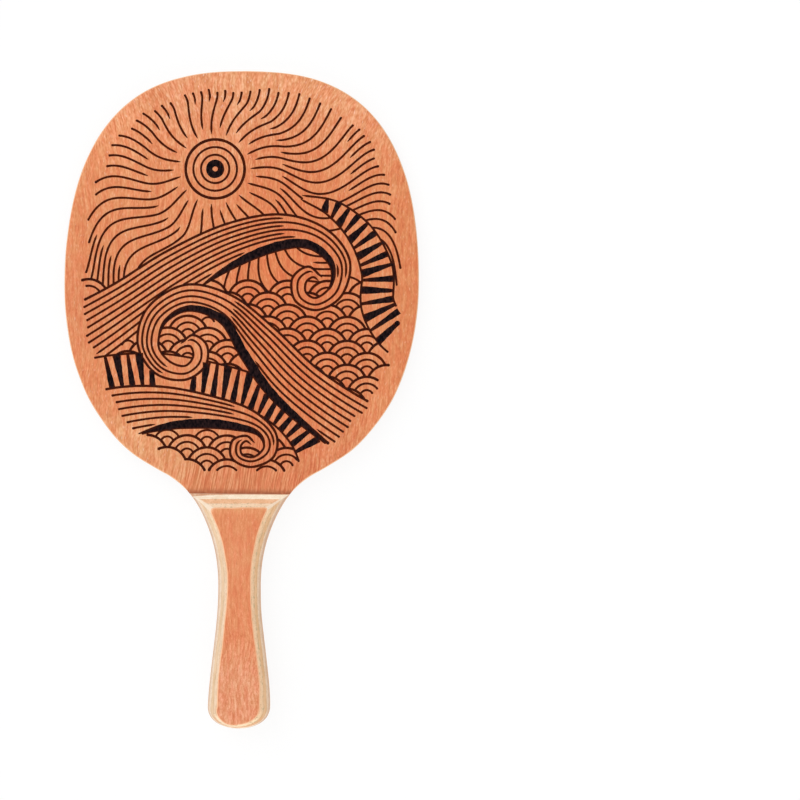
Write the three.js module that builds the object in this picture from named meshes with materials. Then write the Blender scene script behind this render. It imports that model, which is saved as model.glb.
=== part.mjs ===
// Frescobol racket: a plywood bat with a broad round blade and a short waisted handle.
// Five glued plies make the blade and run down through the handle as its tang. A five-ply
// scale is glued on each side of the tang and sanded to a bevel all round, up to its mitred
// corners at the blade. Past the scales the blade's edge is rounded over.
// Millimetres. X is the width, Y runs from the butt end to the tip, Z is the thickness. The
// racket lies on its back, its printed face up, with the origin under the middle of its box.

import * as THREE from 'three';

// Outline of the racket, with its heights measured from the butt end
const overallLength = 380;
const bladeWidth = 204.6;
const widestHeight = 256;
const throatWidth = 86;
const throatHeight = 147.5;
const throatFlareDegrees = 65;
const waistWidth = 24.6;
const waistHeight = 82;
const buttWidth = 36;
const buttHeight = 12.8;

// Fullness of each curve of the outline: how far its handles reach, as shares of its span
const buttEndShare = 0.33;
const buttSideShare = 0.8;
const gripButtShare = 0.269;
const gripWaistShare = 0.374;
const neckWaistShare = 0.521;
const neckThroatShare = 0.25;
const cheekThroatShare = 0.88;
const cheekSideShare = 0.25;
const crownSideShare = 0.8;
const crownTipShare = 0.582;

// Plies of the blade board, and of the board that each scale is cut from
const bladeVeneer = 0.6;
const bladeCrossband = 1.9;
const bladeCore = 2;
const scaleVeneer = 0.6;
const scaleCrossband = 1.9;
const scaleCore = 2;

// Rounded edge of the blade, and the length in which it runs out beside the scales
const rimRadius = 1.2;
const rimRunout = 9;

// Scales: the straight line where they end, and how far the bevel reaches in over the face
const shoulderHeight = 135.5;
const shoulderBevel = 8.4;
const neckBevel = 6.7;
const waistBevel = 5.5;
const buttSideBevel = 5.1;
const buttEndBevel = 3.1;

// Fineness of the mesh
const buttSteps = 8;
const gripSteps = 16;
const bladeSteps = 44;
const rimDepthShares = [0.1, 0.3, 0.6, 1];
const leastStepShare = 0.12;
const searchSteps = 40;

const veneerFinish = { color: 0xe59368, roughness: 0.62, metalness: 0 };
const paleFinish = { color: 0xf6e4c4, roughness: 0.7, metalness: 0 };
const coreFinish = { color: 0xe0b481, roughness: 0.7, metalness: 0 };

const bladeThickness = 2 * bladeVeneer + 2 * bladeCrossband + bladeCore;
const scaleThickness = 2 * scaleVeneer + 2 * scaleCrossband + scaleCore;
const bladeBack = scaleThickness;
const bladeFront = bladeBack + bladeThickness;

// Half of the outline, from the middle of the butt end round the right side to the tip
function makeHalfOutline() {
  const flare = THREE.MathUtils.degToRad(throatFlareDegrees);
  const flareDirection = new THREE.Vector2(Math.sin(flare), Math.cos(flare));
  const buttEnd = new THREE.Vector2(0, 0);
  const buttSide = new THREE.Vector2(buttWidth / 2, buttHeight);
  const waist = new THREE.Vector2(waistWidth / 2, waistHeight);
  const throat = new THREE.Vector2(throatWidth / 2, throatHeight);
  const side = new THREE.Vector2(bladeWidth / 2, widestHeight);
  const tip = new THREE.Vector2(0, overallLength);
  const gripSpan = waist.y - buttSide.y;
  const neckSpan = throat.y - waist.y;
  const cheekSpan = side.y - throat.y;
  const crownSpan = tip.y - side.y;
  const neckReach = neckThroatShare * neckSpan;
  const cheekReach = cheekThroatShare * (side.x - throat.x) / flareDirection.x;

  const path = new THREE.CurvePath();
  path.add(new THREE.CubicBezierCurve(
    buttEnd,
    new THREE.Vector2(buttEndShare * buttSide.x, 0),
    new THREE.Vector2(buttSide.x, (1 - buttSideShare) * buttSide.y),
    buttSide,
  ));
  path.add(new THREE.CubicBezierCurve(
    buttSide,
    new THREE.Vector2(buttSide.x, buttSide.y + gripButtShare * gripSpan),
    new THREE.Vector2(waist.x, waist.y - gripWaistShare * gripSpan),
    waist,
  ));
  path.add(new THREE.CubicBezierCurve(
    waist,
    new THREE.Vector2(waist.x, waist.y + neckWaistShare * neckSpan),
    throat.clone().addScaledVector(flareDirection, -neckReach),
    throat,
  ));
  path.add(new THREE.CubicBezierCurve(
    throat,
    throat.clone().addScaledVector(flareDirection, cheekReach),
    new THREE.Vector2(side.x, side.y - cheekSideShare * cheekSpan),
    side,
  ));
  path.add(new THREE.CubicBezierCurve(
    side,
    new THREE.Vector2(side.x, side.y + crownSideShare * crownSpan),
    new THREE.Vector2(crownTipShare * side.x, tip.y),
    tip,
  ));
  return path;
}

const halfOutline = makeHalfOutline();
const halfLength = halfOutline.getLength();
const buttLength = halfOutline.curves[0].getLength();

// Point of the half outline at a distance from the butt end, moved inwards by an inset
function outlinePoint(distance, inset) {
  const share = Math.min(distance / halfLength, 1);
  const point = halfOutline.getPoint(share);
  const tangent = halfOutline.getTangent(share);
  return new THREE.Vector2(point.x - tangent.y * inset, point.y + tangent.x * inset);
}

// Distance from the butt end at which the inset half outline has risen to a height
function distanceAtHeight(height, insetAt) {
  let low = 0;
  let high = halfLength;
  for (let step = 0; step < searchSteps; step += 1) {
    const middle = (low + high) / 2;
    if (outlinePoint(middle, insetAt(middle)).y < height) {
      low = middle;
    } else {
      high = middle;
    }
  }
  return (low + high) / 2;
}

// Distances from the butt end up to a last one in the neck, closer together round the butt
function handleDistances(last) {
  const distances = [];
  for (let step = 0; step < buttSteps; step += 1) {
    distances.push((buttLength * step) / buttSteps);
  }
  for (let step = 0; step <= gripSteps; step += 1) {
    distances.push(THREE.MathUtils.lerp(buttLength, last, step / gripSteps));
  }
  return distances;
}

// A closed loop from the points of its right half, of which the first lies on the middle line
function mirroredLoop(rightHalf, endsOnMiddleLine) {
  rightHalf[0].x = 0;
  const leftHalf = rightHalf.slice(1).reverse().map((point) => new THREE.Vector2(-point.x, point.y));
  if (endsOnMiddleLine) {
    rightHalf[rightHalf.length - 1].x = 0;
    leftHalf.shift();
  }
  return [...rightHalf, ...leftHalf];
}

// How far the bevel reaches in at a point of the side, between its sizes along the handle
function sideBevel(distance) {
  const height = outlinePoint(distance, 0).y;
  if (height < buttHeight) {
    return THREE.MathUtils.mapLinear(height, 0, buttHeight, buttEndBevel, buttSideBevel);
  }
  if (height < waistHeight) {
    return THREE.MathUtils.mapLinear(height, buttHeight, waistHeight, buttSideBevel, waistBevel);
  }
  const upper = Math.min(height, shoulderHeight);
  return THREE.MathUtils.mapLinear(upper, waistHeight, shoulderHeight, waistBevel, neckBevel);
}

// Outline of a scale where a share of the bevel has been sanded away
function scaleLoop(bevelShare) {
  const insetAt = (distance) => bevelShare * sideBevel(distance);
  const corner = distanceAtHeight(shoulderHeight - bevelShare * shoulderBevel, insetAt);
  const rightHalf = handleDistances(corner).map((distance) => outlinePoint(distance, insetAt(distance)));
  return mirroredLoop(rightHalf, false);
}

const shoulderDistance = distanceAtHeight(shoulderHeight, () => 0);

// Outline of the blade at a depth under its nearer face, drawn in by the rounded edge
function bladeLoop(depth) {
  const rise = Math.max(rimRadius - depth, 0);
  const fullInset = rimRadius - Math.sqrt(rimRadius ** 2 - rise ** 2);
  const runoutAt = (distance) => {
    return THREE.MathUtils.smoothstep(distance, shoulderDistance, shoulderDistance + rimRunout);
  };
  const distances = handleDistances(shoulderDistance);
  for (let step = 1; step <= bladeSteps; step += 1) {
    distances.push(THREE.MathUtils.lerp(shoulderDistance, halfLength, step / bladeSteps));
  }
  const rightHalf = distances.map((distance) => outlinePoint(distance, fullInset * runoutAt(distance)));
  return mirroredLoop(rightHalf, true);
}

// A closed solid through loops of equally many points, given from the lowest to the highest
function loftGeometry(rings) {
  const count = rings[0].loop.length;
  const positions = rings.flatMap((ring) => ring.loop.flatMap((point) => [point.x, point.y, ring.z]));
  const indices = [];
  for (let ring = 0; ring < rings.length - 1; ring += 1) {
    for (let corner = 0; corner < count; corner += 1) {
      const next = (corner + 1) % count;
      const low = ring * count;
      const high = low + count;
      indices.push(low + corner, low + next, high + next);
      indices.push(low + corner, high + next, high + corner);
    }
  }
  const top = (rings.length - 1) * count;
  THREE.ShapeUtils.triangulateShape(rings[0].loop, []).forEach(([a, b, c]) => {
    indices.push(c, b, a);
  });
  THREE.ShapeUtils.triangulateShape(rings[rings.length - 1].loop, []).forEach(([a, b, c]) => {
    indices.push(top + a, top + b, top + c);
  });
  const geometry = new THREE.BufferGeometry();
  geometry.setAttribute('position', new THREE.Float32BufferAttribute(positions, 3));
  geometry.setIndex(indices);
  geometry.computeVertexNormals();
  return geometry;
}

const racket = new THREE.Group();
racket.name = 'frescobol_racket';

// Adds a ply whose rings are given at their heights over the table
function addPly(name, rings, finish) {
  const ordered = [...rings].sort((one, other) => one.z - other.z);
  const base = ordered[0].z;
  const placed = ordered.map((ring) => ({ loop: ring.loop, z: ring.z - base }));
  const mesh = new THREE.Mesh(loftGeometry(placed), new THREE.MeshStandardMaterial(finish));
  mesh.name = name;
  mesh.position.set(0, -overallLength / 2, base);
  racket.add(mesh);
}

// Heights of the rings of a blade ply: its two faces, and steps round the edge between them
function bladeHeights(low, high) {
  const leastStep = leastStepShare * (high - low);
  const depths = rimDepthShares.map((share) => share * rimRadius);
  const steps = [...depths.map((depth) => bladeBack + depth), ...depths.map((depth) => bladeFront - depth)];
  const between = steps.filter((height) => height > low + leastStep && height < high - leastStep);
  return [low, ...between, high];
}

function addBlade() {
  const plies = [
    ['blade_back_veneer', bladeVeneer, veneerFinish],
    ['blade_back_crossband', bladeCrossband, paleFinish],
    ['blade_core', bladeCore, coreFinish],
    ['blade_front_crossband', bladeCrossband, paleFinish],
    ['blade_front_veneer', bladeVeneer, veneerFinish],
  ];
  let low = bladeBack;
  plies.forEach(([name, thickness, finish]) => {
    const high = low + thickness;
    const rings = bladeHeights(low, high).map((height) => {
      return { loop: bladeLoop(Math.min(height - bladeBack, bladeFront - height)), z: height };
    });
    addPly(name, rings, finish);
    low = high;
  });
}

// Adds one scale, ply by ply from the tang outwards. Direction is 1 in front and -1 behind
function addScale(side, tangFace, direction) {
  const plies = [
    ['inner_veneer', scaleVeneer, veneerFinish],
    ['inner_crossband', scaleCrossband, paleFinish],
    ['core', scaleCore, coreFinish],
    ['outer_crossband', scaleCrossband, paleFinish],
    ['face_veneer', scaleVeneer, veneerFinish],
  ];
  const ringAt = (rise) => {
    const bevelShare = Math.max(rise - scaleVeneer, 0) / (scaleThickness - scaleVeneer);
    return { loop: scaleLoop(bevelShare), z: tangFace + direction * rise };
  };
  let rise = 0;
  plies.forEach(([ply, thickness, finish]) => {
    addPly(`${side}_scale_${ply}`, [ringAt(rise), ringAt(rise + thickness)], finish);
    rise += thickness;
  });
}

addScale('back', bladeBack, -1);
addBlade();
addScale('front', bladeFront, 1);

export default racket;
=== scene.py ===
"""Frescobol racket: its plies with sanded edges, wood finishes, line print and studio.

Sizes are millimetres in the racket's own frame, with heights measured from the butt end along
the racket, and become metres where a mesh is made. The levels are those of the blade board's two
faces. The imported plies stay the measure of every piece: each one is replaced by a finer ply of the
same outline and thickness. A Mix node's sockets for colours go by number, as they share names.
"""

import logging
import math
import random
from dataclasses import dataclass, field
from enum import Enum

import bpy
import numpy as np
from mathutils import Matrix, Vector
from mathutils.geometry import delaunay_2d_cdt
from mathutils.kdtree import KDTree


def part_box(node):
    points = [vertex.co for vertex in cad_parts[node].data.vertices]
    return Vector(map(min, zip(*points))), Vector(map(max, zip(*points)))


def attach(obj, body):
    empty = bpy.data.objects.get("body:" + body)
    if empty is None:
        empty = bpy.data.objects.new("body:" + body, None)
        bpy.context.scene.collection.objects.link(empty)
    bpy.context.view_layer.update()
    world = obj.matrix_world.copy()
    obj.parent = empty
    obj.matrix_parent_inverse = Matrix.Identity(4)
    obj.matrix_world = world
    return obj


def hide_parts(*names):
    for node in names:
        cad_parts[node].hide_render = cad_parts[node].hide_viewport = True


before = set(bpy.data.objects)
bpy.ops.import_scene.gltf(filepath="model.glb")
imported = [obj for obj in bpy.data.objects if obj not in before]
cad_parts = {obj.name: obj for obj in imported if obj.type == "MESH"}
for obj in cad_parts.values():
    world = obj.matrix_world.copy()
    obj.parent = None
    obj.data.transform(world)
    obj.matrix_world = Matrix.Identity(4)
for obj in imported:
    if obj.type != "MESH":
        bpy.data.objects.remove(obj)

LOG = logging.getLogger("racket")
MM = 0.001
BODY = "root"
SHARP = math.radians(28)
WORN = "worn"
TINY = 1e-9
BACK_LEVEL = 7.0
FRONT_LEVEL = 14.0
SHOULDER = 135.5

Points = np.ndarray
Colour = tuple[float, float, float]
Socket = bpy.types.NodeSocket
Piece = bpy.types.Object
WHITE: Colour = (1.0, 1.0, 1.0)
COLOUR_INPUTS = (0, 6, 7)
COLOUR_OUTPUT = 2
FILLED_ONLY = 1


class Side(Enum):
    """The face of the tang that a scale is glued to, with its direction along Z."""

    FRONT = 1
    BACK = -1


class Slot(Enum):
    """The record's material slots."""

    FACE = "face_veneer"
    PALE = "pale_ply"
    CORE = "core_ply"
    INK = "print_ink"


class Given(Enum):
    """Whether the wear of a mesh is given at its corners or on its faces."""

    AT_CORNERS = "POINT"
    ON_FACES = "FACE"


@dataclass(frozen=True)
class Wobble:
    """A smooth wandering value, for edges that a hand has sanded."""

    seed: int
    reach: float
    wave: float
    shares: tuple[float, ...] = (1.0, 0.62, 0.37)

    def at(self, place: Points) -> Points:
        """Gives the wandering at distances in mm.

        Args:
            place: distances along an edge.

        Returns:
            Values between about minus and plus reach.
        """
        draw = random.Random(self.seed)
        total = np.zeros_like(place, dtype=float)
        for share in self.shares:
            total += np.sin(math.tau * place / (self.wave * share) + draw.uniform(0, math.tau)) * share
        return self.reach * total / 2


def read_off(
    distance: Points, marks: tuple[float, ...], sizes: tuple[float, ...], blur: float
) -> Points:
    """Reads sizes that are stated at marks along an edge, without corners between them.

    Args:
        distance: distances along the edge.
        marks: the distances at which the sizes are stated.
        sizes: the size at each mark.
        blur: how far off, either way, sizes are taken in.

    Returns:
        The size at each distance.
    """
    readings = 7
    near = np.linspace(-blur, blur, readings)
    return np.mean([np.interp(np.abs(distance + d), marks, sizes) for d in near], axis=0)


@dataclass
class Outline:
    """The racket's outline: half of it runs from the butt end up the side to the tip.

    It is five curves, and the pulls say how far each one follows the direction of its two ends. It
    was cut and sanded by hand, so the real edge lies a little off the drawn one. The cut marks are
    distances along the half outline, and the cut sizes tell how far the edge stands proud there.
    """

    length: float = 380.0
    width: float = 204.6
    widest: float = 256.0
    throat_width: float = 86.0
    throat: float = 147.5
    flare: float = math.radians(65)
    waist_width: float = 24.6
    waist: float = 82.0
    butt_width: float = 36.0
    butt: float = 12.8
    pulls: tuple[tuple[float, float], ...] = (
        (0.33, 0.8), (0.269, 0.374), (0.521, 0.25), (0.88, 0.25), (0.8, 0.582)
    )
    curve_points: int = 400
    cut_blur: float = 6.0
    cut_marks: tuple[float, ...] = (
        0, 8, 16, 24, 36, 48, 60, 72, 80, 90, 104, 118, 130, 143, 152, 164, 178, 187, 196, 206,
        220, 232, 243, 259, 272, 300, 316, 330, 345, 358, 367, 376, 405, 421, 435, 450, 466, 478, 490
    )
    cut_left: tuple[float, ...] = (
        0, 0.15, 0.25, -0.25, -0.35, -0.3, -0.15, -0.15, -0.1, 0, 0.05, 0.1, 0.35, 0.25, 0.35, 1.15,
        0.5, 0.95, 1.2, 1, 0.65, 0.9, 0.65, 0.75, 0.45, 0.3, 0.4, 0.1, -0.1, -0.2, -0.25, -0.6, -0.6,
        -0.3, -0.2, -0.2, -0.2, -0.35, -0.3
    )
    cut_right: tuple[float, ...] = (
        0, 0.15, 0.05, -0.05, 0.05, -0.05, 0, -0.2, -0.5, -0.2, -0.4, -0.3, -0.1, -0.05, -0.25, 0.4,
        -0.5, -0.35, 0.15, -0.3, -0.4, 0, -0.15, -0.25, -0.25, -0.1, -0.05, 0, 0.1, 0.15, 0.2, 0.2,
        0.6, 0.8, 0.85, 0.7, 0.1, -0.15, -0.25
    )
    distance: Points = field(init=False)
    line: Points = field(init=False)
    normal: Points = field(init=False)

    def __post_init__(self) -> None:
        """Works out the half outline, its length from the butt end and its inward normals."""
        throat = np.array([self.throat_width / 2, self.throat])
        flare = np.array([math.sin(self.flare), math.cos(self.flare)])
        butt = np.array([self.butt_width / 2, self.butt])
        waist = np.array([self.waist_width / 2, self.waist])
        side = np.array([self.width / 2, self.widest])
        tip = np.array([0.0, self.length])
        foot = np.array([0.0, 0.0])
        up = np.array([0.0, 1.0])
        right = np.array([1.0, 0.0])
        grip, neck = self.waist - self.butt, self.throat - self.waist
        cheek, crown = self.widest - self.throat, self.length - self.widest
        stations = [
            (foot, right), (butt, up), (waist, up), (throat, flare), (side, up), (tip, -right)
        ]
        spans = [
            (butt[0], self.butt),
            (grip, grip),
            (neck, neck),
            ((side[0] - throat[0]) / flare[0], cheek),
            (crown, side[0]),
        ]
        t = np.linspace(0, 1, self.curve_points, endpoint=False)[:, None]
        u = 1 - t
        parts = []
        for (a, out), (d, into), span, pull in zip(stations, stations[1:], spans, self.pulls):
            b, c = a + out * pull[0] * span[0], d - into * pull[1] * span[1]
            parts.append(u**3 * a + 3 * u**2 * t * b + 3 * u * t**2 * c + t**3 * d)
        self.line = np.vstack([*parts, tip])
        steps = np.linalg.norm(np.diff(self.line, axis=0), axis=1)
        self.distance = np.concatenate([[0.0], np.cumsum(steps)])
        tangent = np.gradient(self.line, self.distance, axis=0)
        tangent[0], tangent[-1] = right, -right
        tangent /= np.linalg.norm(tangent, axis=1)[:, None]
        self.normal = np.stack([-tangent[:, 1], tangent[:, 0]], axis=1)

    def at(self, distance: Points, inset: Points | float = 0.0) -> Points:
        """Gives points of the half outline, moved inwards.

        Args:
            distance: distances from the butt end along the outline.
            inset: how far each point is moved in along its normal.

        Returns:
            One point (x, height) for each distance.
        """
        columns = [np.interp(distance, self.distance, self.line[:, i]) for i in (0, 1)]
        turned = [np.interp(distance, self.distance, self.normal[:, i]) for i in (0, 1)]
        return np.stack(columns, axis=1) + np.stack(turned, axis=1) * np.reshape(inset, (-1, 1))

    def proud(self, distance: Points, hand: int) -> Points:
        """Gives how far the hand-cut edge stands proud, on the right for 1 and on the left for -1."""
        sizes = self.cut_right if hand > 0 else self.cut_left
        return read_off(distance, self.cut_marks, sizes, self.cut_blur)

    def distance_at(self, height: float, inset: Points | float = 0.0) -> float:
        """Gives the distance at which the half outline, moved inwards, has risen to a height."""
        rise = np.maximum.accumulate(self.at(self.distance, inset)[:, 1])
        return float(np.interp(height, rise, self.distance))

    def loop(self, inset: float, step: float = 4.0) -> Points:
        """Gives the whole outline moved inwards.

        Args:
            inset: how far it is moved, the same all round.
            step: the distance between its points.

        Returns:
            The closed loop of (x, height).
        """
        half = self.at(np.arange(0, self.distance[-1], step), inset)
        half = half[half[:, 0] >= 0]
        return np.vstack([half, (half * [-1, 1])[::-1]])


OUTLINE = Outline()


@dataclass
class Ring:
    """One loop of a solid: its points (x, height, z) and its wear, with painted highlight, at each."""

    points: Points
    worn: Points

    @classmethod
    def at(cls, plan: Points, z: float, worn: Points | float = 0.0) -> "Ring":
        """Lifts a plan of (x, height) to a level over the table."""
        lifted = np.column_stack([plan, np.full(len(plan), z)])
        return cls(lifted, np.broadcast_to(worn, len(plan)))


def placed(name: str, data: bpy.types.ID) -> Piece:
    """Adds an object to the scene.

    Args:
        name: the object's name.
        data: its mesh, lamp or camera.

    Returns:
        The new object.
    """
    thing = bpy.data.objects.new(name, data)
    bpy.context.scene.collection.objects.link(thing)
    return thing


def add_mesh(
    name: str, corners: Points, faces: list[tuple[int, ...]], worn: Points, given: Given
) -> Piece:
    """Adds a mesh to the scene, with its place in the mesh itself.

    Args:
        name: the piece's name.
        corners: its corners (x, height, z) in mm.
        faces: the numbers of each face's corners.
        worn: how worn the piece is.
        given: where that is given.

    Returns:
        The new object, in metres.
    """
    vertices = (corners - (0, OUTLINE.length / 2, 0)) * MM
    mesh = bpy.data.meshes.new(name)
    mesh.from_pydata(vertices.tolist(), [], faces)
    layer = mesh.attributes.new(WORN, "FLOAT", given.value)
    layer.data.foreach_set("value", worn.astype(np.float32))
    mesh.validate()
    return placed(name, mesh)


def closed_mesh(name: str, rings: list[Ring]) -> Piece:
    """Makes one closed solid through rings of equally many points.

    Args:
        name: the piece's name.
        rings: the loops, from one end of the solid to the other.

    Returns:
        The new object.
    """
    count = len(rings[0].points)
    corners = np.vstack([ring.points for ring in rings])
    faces = [tuple(range(count))[::-1], tuple(range(len(corners) - count, len(corners)))]
    for low in range(0, len(corners) - count, count):
        for corner in range(count):
            after = (corner + 1) % count
            faces.append((low + corner, low + after, low + count + after, low + count + corner))
    worn = np.concatenate([ring.worn for ring in rings])
    piece = add_mesh(name, corners, faces, worn, Given.AT_CORNERS)
    piece.data.shade_smooth()
    piece.data.set_sharp_from_angle(angle=SHARP)
    return piece


def dress(piece: Piece, material: bpy.types.Material) -> None:
    """Gives a piece its material and its body.

    Args:
        piece: the piece.
        material: the material.
    """
    piece.data.materials.append(material)
    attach(piece, BODY)
    LOG.info("%s: %d faces, %s", piece.name, len(piece.data.polygons), material.name)


def dress_ply(
    piece: Piece, node: str, veneer: "VeneerFinish", crossband: "PlyFinish", core: "PlyFinish"
) -> None:
    """Dresses a ply by what it is.

    Args:
        piece: the ply.
        node: the node that it stands for.
        veneer: the finish that it gets as a veneer.
        crossband: the one that it gets as a crossband.
        core: the one that it gets as a core.
    """
    if node.endswith("veneer"):
        dress(piece, veneer.shared())
    elif node.endswith("core"):
        dress(piece, core.material(node))
    else:
        dress(piece, crossband.material(node))
    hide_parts(node)


@dataclass
class Stack:
    """The plies of one board, from one face of it to the other."""

    veneer: float = 0.6
    crossband: float = 1.9
    core: float = 2.0

    @property
    def thickness(self) -> float:
        """The board's whole thickness."""
        return 2 * self.veneer + 2 * self.crossband + self.core

    @property
    def levels(self) -> Points:
        """The depths of the board's faces and glue lines."""
        return np.cumsum([0.0, self.veneer, self.crossband, self.core, self.crossband, self.veneer])


@dataclass
class BladeBoard:
    """The blade with its tang: five plies with one sanded, rounded edge.

    The edge is square beside the scales and its rounding runs in above them.
    """

    low: float = BACK_LEVEL
    shoulder: float = SHOULDER
    stack: Stack = field(default_factory=Stack)
    rim_radius: float = 1.2
    rim_runout: float = 9.0
    rim_steps: int = 9
    least_step: float = 0.04
    sanded: float = 0.14
    sanded_wave: float = 46.0
    flat: float = 0.7
    seed: int = 40
    step: float = 1.25
    names: tuple[str, ...] = (
        "back_veneer", "back_crossband", "core", "front_crossband", "front_veneer"
    )

    def plan(self, depth: float, side: Side, extra: float = 0.0) -> Points:
        """Gives the blade's loop at a depth under one face.

        Args:
            depth: depth under the nearer face.
            side: which face that is, since each was sanded by itself.
            extra: a further inset, the same all round.

        Returns:
            The closed loop of (x, height).
        """
        start = OUTLINE.distance_at(self.shoulder)
        last = OUTLINE.distance[-1]
        tang = np.linspace(0, start, int(start / self.step), endpoint=False)
        blade = np.linspace(start, last, int((last - start) / self.step))
        distance = np.concatenate([tang, blade])
        fade = np.clip((distance - start) / self.rim_runout, 0, 1)
        fade = fade * fade * (3 - 2 * fade)
        halves = []
        for hand in (1, -1):
            seed = self.seed + hand + 5 * side.value
            worked = Wobble(seed, self.sanded, self.sanded_wave).at(distance)
            radius = self.rim_radius * (1 + worked)
            rise = np.maximum(radius - depth, 0)
            inset = (radius - np.sqrt(np.maximum(radius**2 - rise**2, 0))) * fade
            half = OUTLINE.at(distance, inset + extra - OUTLINE.proud(distance, hand))
            half[0, 0] = half[-1, 0] = 0
            halves.append(half * [hand, 1])
        return np.vstack([halves[0], halves[1][1:-1][::-1]])

    def depths(self, low: float, high: float) -> list[float]:
        """Gives the depths of a ply's rings: its faces, and steps round the edge between them.

        Args:
            low: the depth of its lower face in the board.
            high: the depth of its upper face.

        Returns:
            The depths, from the lower one.
        """
        turn = np.linspace(0, math.pi / 2, self.rim_steps)
        near = self.rim_radius * (1 - np.cos(turn))
        every = np.concatenate([near, self.stack.thickness - near])
        between = every[(every > low + self.least_step) & (every < high - self.least_step)]
        return [low, *sorted(between), high]

    def build(self) -> list[tuple[Piece, str]]:
        """Makes the five plies.

        Returns:
            Each piece with the node that it stands for.
        """
        levels = self.stack.levels
        thickness = self.stack.thickness
        made = []
        for name, low, high in zip(self.names, levels[:-1], levels[1:]):
            rings = []
            for depth in self.depths(low, high):
                near = min(depth, thickness - depth)
                side = Side.BACK if depth < thickness / 2 else Side.FRONT
                rings.append(Ring.at(self.plan(near, side), self.low + depth))
            if low == 0:
                rings.insert(0, Ring.at(self.plan(0, Side.BACK, self.flat), self.low))
            if high == thickness:
                rings.append(Ring.at(self.plan(0, Side.FRONT, self.flat), self.low + thickness))
            node = f"blade_{name}"
            made.append((closed_mesh(f"{node}_wood", rings), node))
        return made

    def dress(self, plies: list[tuple[Piece, str]], finishes: "Finishes") -> None:
        """Dresses the five plies.

        Args:
            plies: each ply with the node that it stands for.
            finishes: the racket's finishes.
        """
        for piece, node in plies:
            dress_ply(piece, node, finishes.blade_face, finishes.pale, finishes.core)


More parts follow.
